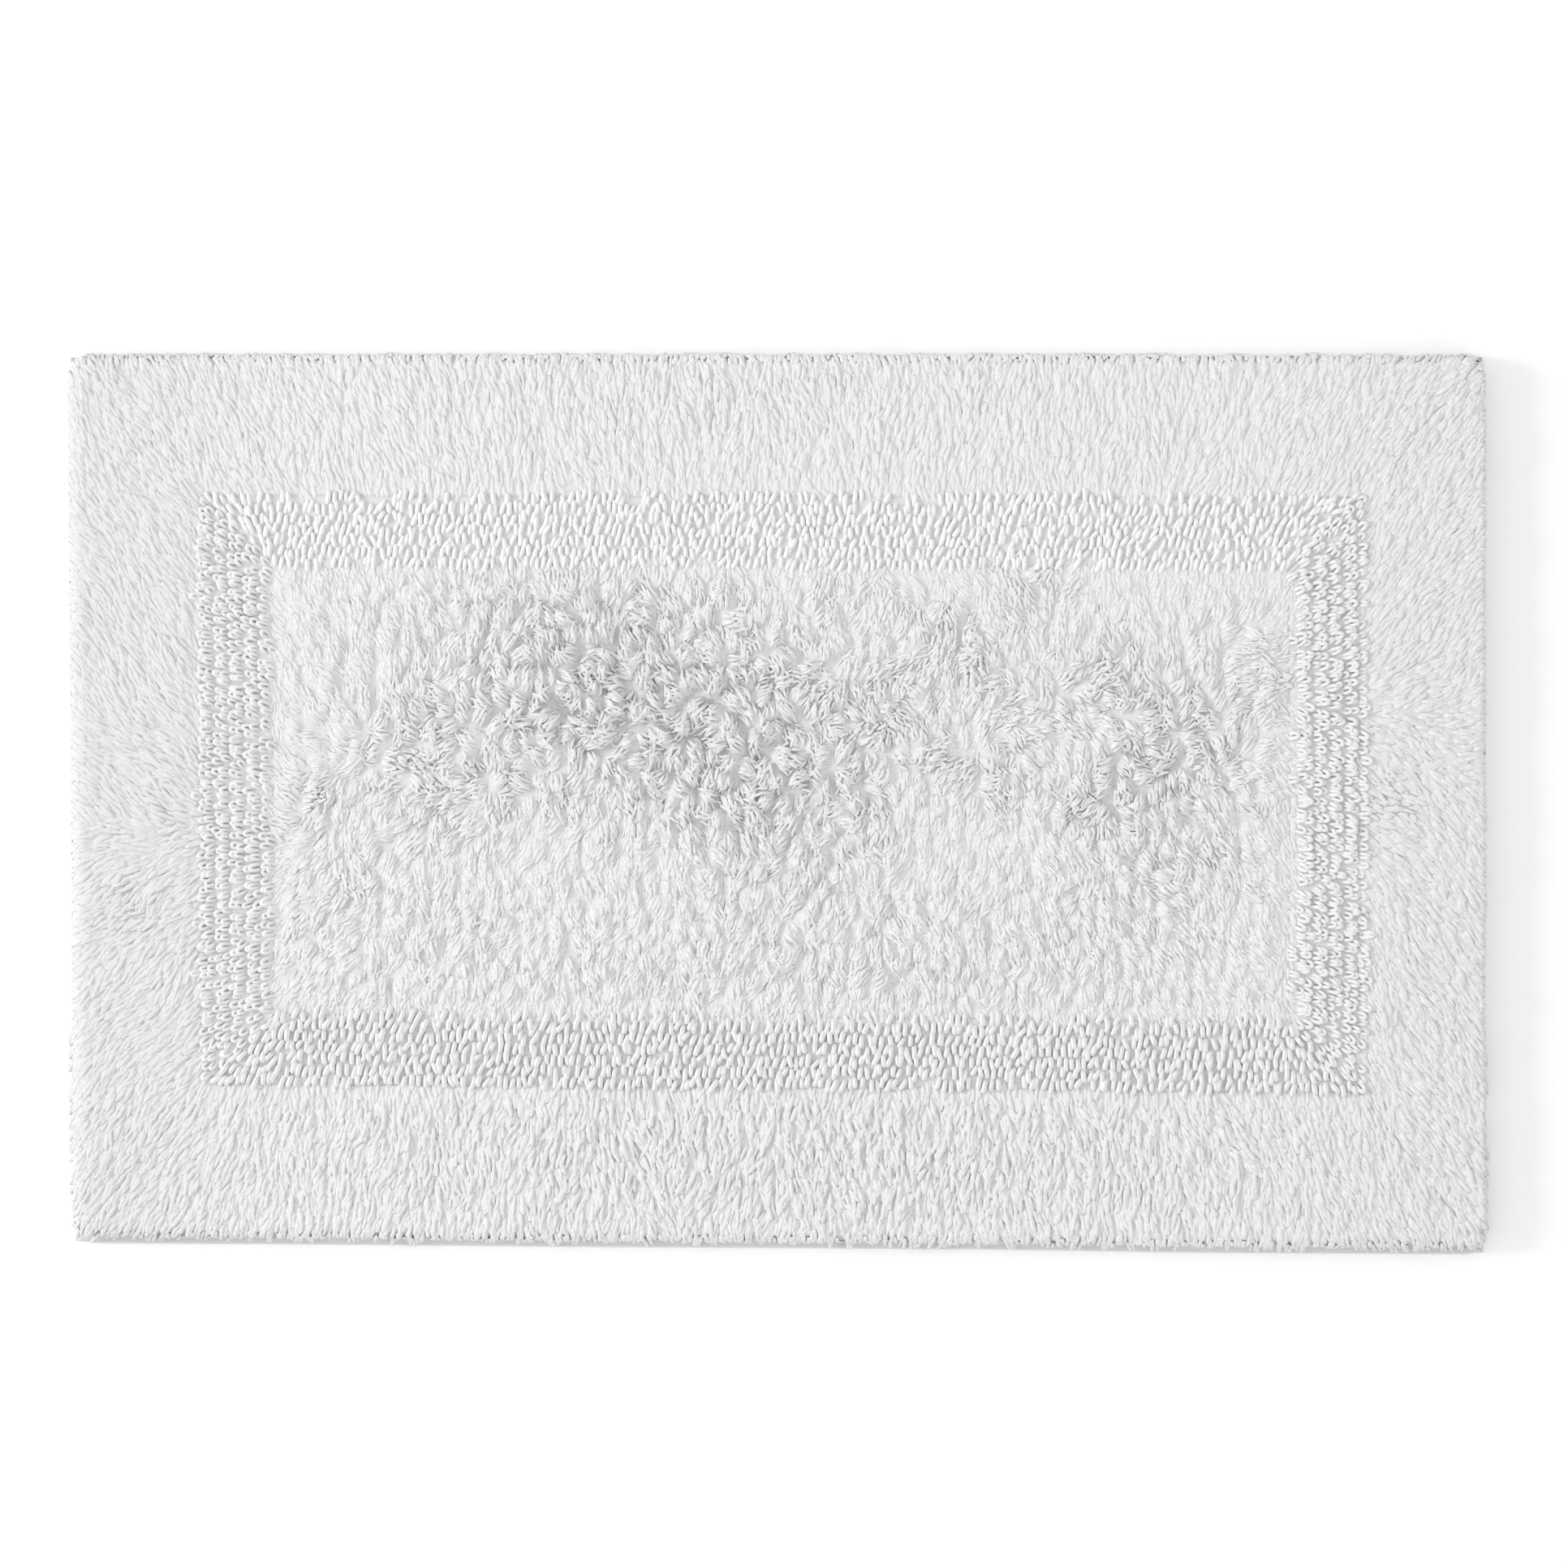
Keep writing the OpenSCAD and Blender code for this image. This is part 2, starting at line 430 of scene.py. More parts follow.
def footTop(x, y, region):
    # Height of the foot: a level that drops with the ruffle, noise, and a dome 1 - (d / domeSize)^2 over
    # each tuft. At the edge it comes down to the rim along a quarter circle, and past it in a straight
    # slope, and beside the band it comes down to the loops. Loops have no domes.
    noise = smoothNoise(x, y, foot["bumpSize"], 7)
    loopLevel = foot["loopHeight"] + foot["bump"][0] * noise
    if region == "loops":
        return clothTop + loopLevel
    rough = ruffle(x, y)
    bump = blend(foot["bump"], rough) * noise
    far = nearestTuft(x, y, *tufts[region])[2]
    dome = blend(foot["dome"], rough) * (np.clip(1 - (far / foot["domeSize"]) ** 2, 0, 1) - 0.5)
    dome = dome * (foot["centreDome"] if region == "centre" else 1)
    level = foot["cutHeight"] - foot["ruffleDrop"] * rough + bump + dome
    level = loopLevel + (level - loopLevel) * ramp(bandDistance(x, y), 0, foot["toLoops"])
    edge = edgeDistance(x, y)
    rightFrom, rightTo = foot["rightEnd"]
    fall = blend(foot["shoulder"], ramp(x, halfLength - rightFrom, halfLength - rightTo))
    share = np.clip(edge / fall, 0, 1)
    shoulder = np.sqrt(1 - (1 - share) ** 2)
    rim = blend(foot["rim"], pastFront(y))
    slope = blend(foot["rimSlope"], pastFront(y))
    height = rim + (level - rim) * shoulder + slope * np.minimum(edge, 0)
    return clothTop + np.maximum(height, 0)


def quadCorners(side, outer, inner):
    # The plan of one mitred side of a band, from its outer edge to its inner one.
    start = sides.index(side)
    after = (start + 1) % 4
    outside, within = rectCorners(outer), rectCorners(inner)
    return [outside[start], outside[after], within[after], within[start]]


def slab(top, low):
    # Faces of a closed slab over a grid: quads on top, a wall round the rim and one flat face below.
    cols, rows = top.shape[:2]
    index = np.arange(cols * rows).reshape(cols, rows)
    a, b = index[:-1, :-1].ravel(), index[1:, :-1].ravel()
    d, e = index[1:, 1:].ravel(), index[:-1, 1:].ravel()
    rim = np.concatenate([index[:-1, 0], index[-1, :-1], index[:0:-1, -1], index[0, :0:-1]])
    under = cols * rows + np.arange(len(rim))
    quads = np.concatenate([
        np.stack([a, b, d, e], axis=-1),
        np.stack([under, np.roll(under, -1), np.roll(rim, -1), rim], axis=-1),
    ])
    flat = top.reshape(-1, 3)
    base = flat[rim].copy()
    base[:, 2] = low
    points = np.concatenate([flat, base])
    faces = [quads, under[::-1][None, :]]
    return points, faces, [points[f][..., :2] / mm for f in faces]


def footPiece(name, corners, region):
    # A grid over a four-cornered plan by weighting its corners, lifted to the foot's height and closed
    # below. Near the front and back edges it sinks by the hollow, so that the strands stand clear of it.
    c = np.array(corners)
    longSide = max(np.linalg.norm(c[1] - c[0]), np.linalg.norm(c[2] - c[3]))
    shortSide = max(np.linalg.norm(c[3] - c[0]), np.linalg.norm(c[2] - c[1]))
    cols = max(2, int(longSide / foot["pitch"])) + 1
    rows = max(2, int(shortSide / foot["pitch"])) + 1
    u, v = np.meshgrid(np.linspace(0, 1, cols), np.linspace(0, 1, rows), indexing="ij")
    weights = [(1 - u) * (1 - v), u * (1 - v), u * v, (1 - u) * v]
    x = sum(w * p[0] for w, p in zip(weights, c))
    y = sum(w * p[1] for w, p in zip(weights, c))
    height = footTop(x, y, region) + foot["lift"]
    toBack = ramp(y, halfWidth - foot["edgeZone"], halfWidth)
    hollow = foot["hollow"][0] * (1 - pastFront(y)) + foot["hollow"][1] * toBack
    height = height - hollow * (1 - ramp(edgeDistance(x, y), 0, foot["hollowWidth"]))
    top = np.stack([x, y, np.maximum(height, clothTop + foot["least"])], axis=-1)
    points, faces, uvs = slab(top, clothTop)
    # painted shade on the foot, which shows only in the gaps, plus the painted shade and light of each
    # region; the foot takes the tip colour, without the painted light of the roots
    toneAndShade = foot["loopShade"] if region == "loops" else foot["cutShade"]
    return makePiece(name, points, faces, uvs, {
        "toneAndShade": paintedShadeAndLight(points[:, 0], points[:, 1]) + toneAndShade,
        "height": np.full(len(points), 0.5),
    })


# Cut pile: strands of yarn that lie over one another, opened at their tips

cutPile = {
    "around": 5,
    "flat": (0.22, 0.74),  # a strand is this much as thick as it is wide, calm and ruffled
    "sunk": 0.4 * mm,  # it starts this far down in the foot
    "uneven": 0.7 * mm,  # more or less
    "rootTilt": (86, 82),  # degrees from upright where it leaves the foot, calm and ruffled
    "tipTilt": (89, 85),
    "uprightTilt": 87,  # along the parting
    "clumpSize": 4 * mm,  # of the noise that lets some tufts reach further over the hem
    "overhang": {"front": -2.9 * mm, "right": -0.8 * mm, "back": 0.8 * mm, "left": -1.0 * mm},
    "clumps": 1.5,  # weight of that noise
    "apart": 0.35,  # and of each strand's own part
    "widths": (0.8, 1.2),  # range of a strand's width, as a share of the usual one
    "tiltSpread": 3,
    "endShade": (1.6, 1.0),  # painted shade at the left and right ends: how much darker it is coloured there, in steps of its variation, more at the left, which faces the lamp
    "middleShade": -0.8,  # painted light in the middle, as a negative shade: it is coloured lighter there
    "endShadeFrom": 0.6,  # the painted shade at the ends starts this far out, in half lengths
    "overhangSpread": {"front": 2.4 * mm, "right": 0.5 * mm, "back": 0.8 * mm, "left": 0.15 * mm},
}
borderPile = {
    "rings": (0.0, 0.35, 0.72, 0.93, 1.0),  # places along a strand, the last one its tip
    "thickness": (0.75, 1.0, 0.95, 0.6),  # of its width, at each ring
    "pitch": 3.4 * mm,
    "jitter": 0.42,
    "length": 8.6 * mm,
    "lengthSpread": 0.16,
    "width": 2.6 * mm,
    "turnSpread": 8,
    "curl": 14,
    "under": 3 * mm,  # it starts this far under the loops
    "gather": 0.35,  # how far a strand is drawn to the middle of its tuft
    "tuftTurn": 50,  # degrees that a whole tuft turns by, where the pile is ruffled
    "seed": 11,
}
centrePile = {
    "rings": (0.0, 0.42, 0.86, 1.0),
    "thickness": (0.8, 1.0, 0.72),
    "pitch": 2.85 * mm,
    "jitter": 0.42,
    "length": 6.8 * mm,
    "lengthSpread": 0.15,
    "width": 2.05 * mm,
    "turnSpread": 9,
    "curl": 22,
    "gather": 0.4,
    "tuftTurn": 60,
    "past": 1.6 * mm,  # it starts this far out among the loops
    "seed": 12,
}


def strandPiece(name, x, y, pile, region, seed):
    # A strand is a path whose tilt from upright goes from its root's to its tip's, while its heading
    # turns by the curl. It is drawn towards the middle of its tuft by the gather, and it follows the foot
    # that it lies on. A half ellipse with a flat underside stands across the path at each ring, and it
    # closes in a blunt tip.
    rng = np.random.default_rng(seed)
    count = len(x)
    s = np.array(pile["rings"])
    middle = (s[1:] + s[:-1]) / 2
    rough = ruffle(x, y)
    tuftX, tuftY, _, chance = nearestTuft(x, y, *tufts[region])
    heading, over = combing(tuftX, tuftY)
    tuftTurn = pile["tuftTurn"] * (0.15 + 0.85 * rough) + combed["unsettled"] * (1 - over)
    heading = heading + np.radians(tuftTurn) * (2 * chance - 1)
    spread = pile["turnSpread"] * (0.6 + 1.2 * rough + 0.8 * (1 - over))
    heading = heading + np.radians(rng.normal(0, 1, count) * spread)
    curl = np.radians(rng.normal(0, pile["curl"], count) * (0.4 + rough))
    upright = cutPile["uprightTilt"]
    tipTilt = upright + (blend(cutPile["tipTilt"], rough) - upright) * over
    tipTilt = np.radians(tipTilt + rng.normal(0, cutPile["tiltSpread"], count) * (0.4 + rough))
    rootTilt = np.radians(blend(cutPile["rootTilt"], rough) * (0.6 + 0.4 * over))
    length = pile["length"] * (1 + rng.normal(0, pile["lengthSpread"], count).clip(-0.35, 0.35))
    width = pile["width"] * rng.uniform(*cutPile["widths"], count)

    tilt = rootTilt[:, None] + (tipTilt - rootTilt)[:, None] * middle[None, :]
    turn = heading[:, None] + curl[:, None] * middle[None, :]
    step = length[:, None] * np.diff(s)[None, :]
    moves = np.stack([
        np.sin(tilt) * np.cos(turn) * step,
        np.sin(tilt) * np.sin(turn) * step,
        np.cos(tilt) * step,
    ], axis=-1)
    path = np.concatenate([np.zeros((count, 1, 3)), np.cumsum(moves, axis=1)], axis=1)
    pull = pile["gather"] * (0.25 + 0.75 * rough)[:, None] * (0.4 + 0.6 * s)[None, :]
    path[..., 0] += pull * (tuftX - x)[:, None]
    path[..., 1] += pull * (tuftY - y)[:, None]

    # near the hem a strand's reach is cut, so that its tip stays over the hem
    near = sideOf(x, y, matRect, bandOuter)
    overhang = np.array([cutPile["overhang"][side] for side in sides])[near]
    spreads = np.array([cutPile["overhangSpread"][side] for side in sides])[near]
    clumps = cutPile["clumps"] * smoothNoise(tuftX, tuftY, cutPile["clumpSize"], 63)
    apart = cutPile["apart"]
    overhang = overhang + spreads * (clumps + rng.uniform(-apart, apart, count))
    overhang = overhang + footInset + foot["frontBare"] * (y < -halfWidth / 2)
    rootIn = edgeDistance(x, y)
    tipIn = edgeDistance(x + path[:, -1, 0], y + path[:, -1, 1])
    reach = np.clip((rootIn + overhang) / np.maximum(rootIn - tipIn, 1e-6), 0.1, 1)
    path[..., :2] *= reach[:, None, None]
    path[..., 0] += x[:, None]
    path[..., 1] += y[:, None]
    path[..., 2] += footTop(path[..., 0], path[..., 1], region) - cutPile["sunk"]
    path[..., 2] += (cutPile["uneven"] * (0.15 + rough) * rng.uniform(-1, 1, count))[:, None]

    along = unit(np.gradient(path, axis=1))
    ringTurn = heading[:, None] + curl[:, None] * s[None, :]
    across = np.stack([-np.sin(ringTurn), np.cos(ringTurn), np.zeros_like(ringTurn)], axis=-1)
    above = unit(np.cross(along, across))
    flat = blend(cutPile["flat"], rough)[:, None, None, None]
    half = (width[:, None] / 2 * np.array(pile["thickness"])[None, :])[..., None, None]
    around = cutPile["around"]
    angle = np.concatenate([[math.pi], np.linspace(0, math.pi, around)[:-1]])[:, None]
    rings = (
        path[:, :-1, None]
        + half * np.cos(angle) * across[:, :-1, None]
        + 2 * half * flat * np.sin(angle) * above[:, :-1, None]
    )
    tip = path[:, -1] + (0.35 * width * flat[:, 0, 0, 0])[:, None] * above[:, -1]
    ringCount = len(s) - 1
    tipIndex = count * ringCount * around + np.arange(count)
    points = np.concatenate([rings.reshape(-1, 3), tip])
    lastRing = ((np.arange(count) + 1) * ringCount - 1)[:, None] * around + np.arange(around)
    tips = np.stack([
        lastRing,
        np.roll(lastRing, -1, axis=1),
        np.broadcast_to(tipIndex[:, None], lastRing.shape),
    ], axis=-1).reshape(-1, 3)
    offset = rng.uniform(0, 50, count)
    distance = (length[:, None] * s[None, :]) / pile["width"] + offset[:, None]
    u = np.broadcast_to(np.arange(around) / around, (count, around))
    v = np.broadcast_to(distance[:, -2:-1], u.shape)
    vTip = np.broadcast_to(distance[:, -1:], u.shape)
    tipUv = np.stack([u, v, u + 1 / around, v, u + 0.5 / around, vTip], axis=-1).reshape(-1, 6)
    # each strand's random lightness, plus the painted shade at the ends and the painted light in the middle
    toneAndShade = rng.uniform(0, 1, count) + paintedShadeAndLight(x, y)
    upper = np.arange(around) > 0  # the first face round a ring is the underside
    smooth = np.concatenate([np.tile(upper, count * ringCount), np.zeros(count, bool)])
    return makePiece(
        name,
        points,
        [tubeFaces(count, ringCount, around), tips, capFaces(count, ringCount, around, 0, True)],
        [tubeUvs(count, ringCount, around, distance[:, :-1]), tipUv, np.zeros((count, around * 2))],
        {
            "toneAndShade": np.concatenate([np.repeat(toneAndShade, ringCount * around), toneAndShade]),
            "height": np.concatenate([np.tile(np.repeat(s[:-1], around), count), np.ones(count)]),
        },
        smooth,
    )


# Loop pile: uncut loops of the same yarn

loopPile = {
    "around": 6,
    "sunk": 1.7 * mm,
    "rootTilt": 40,
    "crestSpread": 7,
    "lengthSpread": 0.1,
    "gaps": (0.75, 1.25),  # ranges, as shares of the usual one
    "yarns": (0.88, 1.12),
    "rises": (0.85, 1.15),
    "follow": 0.3,  # share of the combing's direction that a loop takes
    "fullness": 0.6,  # a lower power makes a rounder loop
    "wobble": 0.4 * mm,
}
# loops on the two ends lie over sideways in neat columns, and those along the front and back arch outwards
endLoops = {
    "arched": False,
    "rings": 9,
    "rowPitch": 8.6 * mm,  # from one pair of columns to the next, across the band
    "pair": 2.9 * mm,  # between the two columns of a pair
    "inStep": 2,  # this many columns side by side before they shift by half a loop
    "loopPitch": 4.9 * mm,  # from loop to loop, along the band
    "jitter": (0.2, 0.18),  # of the spacing across the band and along it
    "length": 7.0 * mm,
    "halfGap": 1.42 * mm,
    "yarn": 2.3 * mm,
    "crestTilt": 83,
    "turnSpread": 11,
    "into": 1.5 * mm,  # loops start this far inside the band's inner edge
    "seed": 21,
}
frontLoops = {
    "arched": True,
    "rings": 7,
    "rowPitch": 12.4 * mm,
    "pair": 6.2 * mm,
    "inStep": 1,
    "loopPitch": 3.8 * mm,
    "jitter": (0.3, 0.3),
    "length": 5.9 * mm,
    "halfGap": 0.5 * mm,
    "yarn": 3.1 * mm,
    "rise": 3.8 * mm,
    "turnSpread": 13,
    "into": 0.5 * mm,
    "seed": 22,
}
backLoops = dict(frontLoops, loopPitch=3.7 * mm, rise=2.8 * mm, seed=23)
loopKinds = {"front": frontLoops, "right": endLoops, "back": backLoops, "left": endLoops}


def loopPiece(name, side, kind):
    # A loop's centre line goes up one leg and down the other as a runs from 0 to pi. One that lies over
    # goes sin(a)^fullness of its length up a sheet that leans over more and more, with its legs about
    # halfGap cos(a) to each side. An arched one goes -cos(a) / 2 of its length outwards and rises by
    # about sin(a)^fullness, with its legs one behind the other.
    rng = np.random.default_rng(kind["seed"] + sides.index(side))
    alongX = side in ("front", "back")
    run, over = (0, 1) if alongX else (1, 0)
    low = np.array(bandOuter[:2]) - kind["loopPitch"]
    high = np.array(bandOuter[2:]) + kind["loopPitch"]
    loops = np.arange(low[run], high[run], kind["loopPitch"])
    number = np.arange(2 * (high[over] - low[over]) / kind["rowPitch"]).astype(int)
    rows = low[over] + number // 2 * kind["rowPitch"] + number % 2 * kind["pair"]
    place = np.stack(np.meshgrid(loops, rows, indexing="ij"))
    place[0] += (number // kind["inStep"] % 2)[None, :] * kind["loopPitch"] / 2
    acrossJitter, alongJitter = kind["jitter"]
    place[0] += rng.uniform(-1, 1, place[0].shape) * alongJitter * kind["loopPitch"]
    place[1] += rng.uniform(-1, 1, place[1].shape) * acrossJitter * kind["rowPitch"] / 2
    x, y = place[run].ravel(), place[over].ravel()
    into = kind["into"]
    kept = inside(*stray(x, y), bandOuter) & ~inside(*stray(x, y), grow(bandInner, -into))
    kept &= sideOf(x, y, bandOuter, bandInner) == sides.index(side)
    x, y = x[kept], y[kept]
    count = len(x)

    # they point straight out of the band, turning round its corners, and follow the combing in part
    deep = into + foot["stray"]
    outX = np.maximum(x - bandInner[2] + deep, 0) - np.maximum(bandInner[0] + deep - x, 0)
    outY = np.maximum(y - bandInner[3] + deep, 0) - np.maximum(bandInner[1] + deep - y, 0)
    straight = np.arctan2(outY, outX)
    heading = combing(x, y)[0]
    off = (heading - straight + math.pi) % (2 * math.pi) - math.pi
    heading = straight + loopPile["follow"] * np.clip(off, -1, 1)
    heading = heading + np.radians(rng.normal(0, kind["turnSpread"], count))
    length = kind["length"] * (1 + rng.normal(0, loopPile["lengthSpread"], count)).clip(0.7, 1.3)
    halfGap = kind["halfGap"] * rng.uniform(*loopPile["gaps"], count)
    yarn = kind["yarn"] * rng.uniform(*loopPile["yarns"], count)
    cosH, sinH = np.cos(heading)[:, None], np.sin(heading)[:, None]

    rings, around = kind["rings"], loopPile["around"]
    a = np.linspace(0, math.pi, rings)
    share = np.sin(a).clip(0, 1) ** loopPile["fullness"]
    if kind["arched"]:
        out = -length[:, None] / 2 * np.cos(a)[None, :]
        up = kind["rise"] * rng.uniform(*loopPile["rises"], count)[:, None]
        up = up * (share * (0.9 - 0.2 * np.cos(a)))[None, :]
        sheetNormal = np.stack([-sinH, cosH, 0 * sinH], axis=-1)
    else:
        crest = np.radians(kind["crestTilt"] + rng.normal(0, loopPile["crestSpread"], count))
        root = math.radians(loopPile["rootTilt"])
        tiltGain = (crest - root)[:, None]
        tilt = root + tiltGain * share[None, :]
        out = length[:, None] / tiltGain * (math.cos(root) - np.cos(tilt))
        up = length[:, None] / tiltGain * (np.sin(tilt) - math.sin(root))
        sheetNormal = np.stack([np.cos(tilt) * cosH, np.cos(tilt) * sinH, -np.sin(tilt)], axis=-1)
    across = halfGap[:, None] * np.cos(a)[None, :] * (0.85 + 0.4 * np.sin(a))[None, :]
    across = across + rng.normal(0, loopPile["wobble"], count)[:, None] * share[None, :]
    start = footTop(x, y, "loops") - loopPile["sunk"]
    path = np.stack([
        x[:, None] + out * cosH - across * sinH,
        y[:, None] + out * sinH + across * cosH,
        start[:, None] + up,
    ], axis=-1)
    along = unit(np.gradient(path, axis=1))
    side1 = unit(np.cross(along, sheetNormal))
    side2 = unit(np.cross(side1, along))
    angle = np.arange(around) * 2 * math.pi / around
    half = yarn[:, None] / 2 * (0.92 + 0.12 * np.sin(a))[None, :]
    points = (
        path[:, :, None, :]
        + half[..., None, None] * np.cos(angle)[:, None] * side1[:, :, None, :]
        + half[..., None, None] * np.sin(angle)[:, None] * side2[:, :, None, :]
    )
    distance = np.linspace(0, 1, rings)[None, :] * 2 * length[:, None] / kind["yarn"]
    distance = distance + rng.uniform(0, 50, count)[:, None]
    smooth = np.tile(np.arange(around) >= around // 2, count * (rings - 1))
    return tubePiece(
        name, points, count, rings, around, distance,
        {
            "toneAndShade": np.repeat(rng.uniform(0, 1, count), rings * around),
            "height": np.tile(np.repeat(share, around), count),
        },
        np.concatenate([smooth, np.zeros(2 * count, bool)]),
    )


# Backing cloth, hem, stitches and latex coating

cloth = {
    "pitch": 8 * mm,
    "edge": 1.2 * mm,  # the sheet stops this far inside the fold of the hem
    "under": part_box("hem_front")[1].z,  # it lies on the turned hem
    "sunk": 0.1 * mm,  # its top is this much under the CAD's
    "rise": 0.12 * mm,  # slow rises
    "riseSize": 40 * mm,
}
hem = {
    "width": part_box("hem_front")[1].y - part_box("hem_front")[0].y,
    "radius": 11 * mm,
    "topWidth": 7 * mm,  # how far in the fold shows on the pile side
    "cloth": 0.45 * mm,
    "top": clothTop + 0.15 * mm,
    "stations": 150,
    "arc": 7,
    "puff": 0.25 * mm,  # uneven rises on the pile side
    "puffSize": 9 * mm,
    "seed": 31,
}
stitch = {
    "inset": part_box("hem_stitching_front")[0].y + halfWidth + 0.4 * mm,
    "pitch": 4 * mm,
    "length": 2.9 * mm,
    "width": 0.75 * mm,
    "depth": 0.36 * mm,
    "endGap": 17 * mm,
    "slant": 0.08 * mm,
    "proud": 0.02 * mm,  # it stands out of the hem by this much
    "around": 6,
    "rings": (0.0, 0.12, 0.5, 0.88, 1.0),
    "swell": (0.35, 0.85, 1.0, 0.85, 0.35),
    "seed": 32,
}
latex = {
    "rowPitch": 5 * mm,
    "columns": 60,
    "samples": 5,  # points across each row
    "ridge": 0.28 * mm,
    "inset": 0.6 * mm,  # it reaches this far past the CAD's, into the hem
    "patch": 13 * mm,  # size of the patches where the ridges are higher or lower
}


def roundedSide(side, depth):
    # One side of the mat's outline drawn in by each depth, from halfway round one corner to halfway round
    # the next. The corner's centre is max(radius, depth) in from both edges, and its radius is what is
    # left.
    depth = np.asarray(depth)
    radius = np.maximum(hem["radius"] - depth, 0)
    centre = np.maximum(hem["radius"], depth)
    alongX = side in ("front", "back")
    half = halfLength if alongX else halfWidth
    other = halfWidth if alongX else halfLength
    turn = np.linspace(math.pi / 4, 0, hem["arc"])
    straight = np.linspace(-1, 1, hem["stations"])[1:-1]
    run = np.concatenate([
        -(half - centre)[:, None] - radius[:, None] * np.sin(turn),
        (half - centre)[:, None] * straight,
        (half - centre)[:, None] + radius[:, None] * np.sin(turn[::-1]),
    ], axis=1)
    bow = radius[:, None] * (1 - np.cos(turn))
    out = np.concatenate([
        other - depth[:, None] - bow,
        np.broadcast_to(other - depth[:, None], (len(depth), len(straight))),
        other - depth[:, None] - bow[:, ::-1],
    ], axis=1)
    if side == "front":
        return run, -out
    if side == "back":
        return -run, out
    if side == "right":
        return out, run
    return -out, -run


def hemPiece(name, side):
    # The cross-section goes out along the pile side, round the fold in a half circle, and in underneath,
    # then back inside itself by the cloth's thickness. It is carried along the outline.
    top, low = hem["top"], 0.0
    fold = (top - low) / 2
    turn = np.linspace(math.pi / 2, -math.pi / 2, 7)
    outer = (
        [(hem["topWidth"], top), (hem["topWidth"] / 2, top)]
        + [(fold - fold * math.cos(t), fold + fold * math.sin(t)) for t in turn]
        + [(hem["width"] / 2, low), (hem["width"], low)]
    )
    thin = fold - hem["cloth"]
    inner = (
        [(hem["width"], low + hem["cloth"]), (hem["width"] / 2, low + hem["cloth"])]
        + [(fold - thin * math.cos(t), fold + thin * math.sin(t)) for t in turn[::-1]]
        + [(hem["topWidth"] / 2, top - hem["cloth"]), (hem["topWidth"], top - hem["cloth"])]
    )
    profile = np.array(outer + inner)
    x, y = roundedSide(side, profile[:, 0])
    z = np.broadcast_to(profile[:, 1:2], x.shape)
    points = np.stack([x, y, z], axis=-1).transpose(1, 0, 2)
    stations, around = points.shape[:2]
    onTop = points[..., 2] > fold
    puff = hem["puff"] * smoothNoise(points[..., 0], points[..., 1], hem["puffSize"], hem["seed"])
    points = points.copy()
    points[..., 2] += np.where(onTop, puff, 0)
    place = np.concatenate([[0], np.cumsum(np.linalg.norm(np.diff(profile, axis=0), axis=1))]) / mm
    run = np.linalg.norm(np.diff(points[:, 0], axis=0), axis=1)
    run = np.concatenate([[0], np.cumsum(run)]) / mm
    ring = np.arange(stations - 1)[:, None] * around
    here = np.arange(around)[None, :]
    after = (here + 1) % around
    quads = np.stack([ring + here, ring + here + around, ring + after + around, ring + after], axis=-1)
    u0, u1 = run[:-1, None], run[1:, None]
    v0 = np.broadcast_to(place[None, :], (stations - 1, around))
    v1 = np.broadcast_to(np.append(place[1:], place[-1] + 0.4)[None, :], v0.shape)
    u0, u1 = np.broadcast_to(u0, v0.shape), np.broadcast_to(u1, v0.shape)
    uvs = np.stack([u0, v0, u1, v0, u1, v1, u0, v1], axis=-1)
    caps = np.stack([np.arange(around), (stations - 1) * around + np.arange(around)[::-1]])
    capUv = np.zeros((2, around * 2))
    return makePiece(name, points, [quads.reshape(-1, 4), caps], [uvs.reshape(-1, 8), capUv])


def clothPiece(name):
    # A flat sheet with its two faces a cloth's thickness apart, lifted a little by slow noise.
    low = -halfLength + cloth["edge"], -halfWidth + cloth["edge"]
    cols = int(2 * halfLength / cloth["pitch"])
    rows = int(2 * halfWidth / cloth["pitch"])
    xs = np.linspace(low[0], -low[0], cols)
    ys = np.linspace(low[1], -low[1], rows)
    x, y = np.meshgrid(xs, ys, indexing="ij")
    rise = cloth["rise"] * smoothNoise(x, y, cloth["riseSize"], 33)
    points, faces, uvs = slab(np.stack([x, y, clothTop - cloth["sunk"] + rise], axis=-1), cloth["under"])
    return makePiece(name, points, faces, uvs)


def latexPiece(name):
    # The underside follows the rows of tufting: it rises by the ridge times 1 - |cos| across the rows. It
    # is made as a slab and its faces are turned over.
    lowCorner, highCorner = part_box("latex_coating")
    rows = int((highCorner.y - lowCorner.y) / latex["rowPitch"]) * latex["samples"]
    xs = np.linspace(lowCorner.x - latex["inset"], highCorner.x + latex["inset"], latex["columns"])
    ys = np.linspace(lowCorner.y - latex["inset"], highCorner.y + latex["inset"], rows)
    x, y = np.meshgrid(xs, ys, indexing="ij")
    wave = 1 - np.abs(np.cos(math.pi * y / latex["rowPitch"]))
    low = latex["ridge"] * wave * (0.5 + 0.5 * smoothNoise(x, y, latex["patch"], 34))
    points, faces, uvs = slab(np.stack([x, y, lowCorner.z + low], axis=-1), highCorner.z)
    return makePiece(name, points, [f[:, ::-1] for f in faces], [u[:, ::-1] for u in uvs])


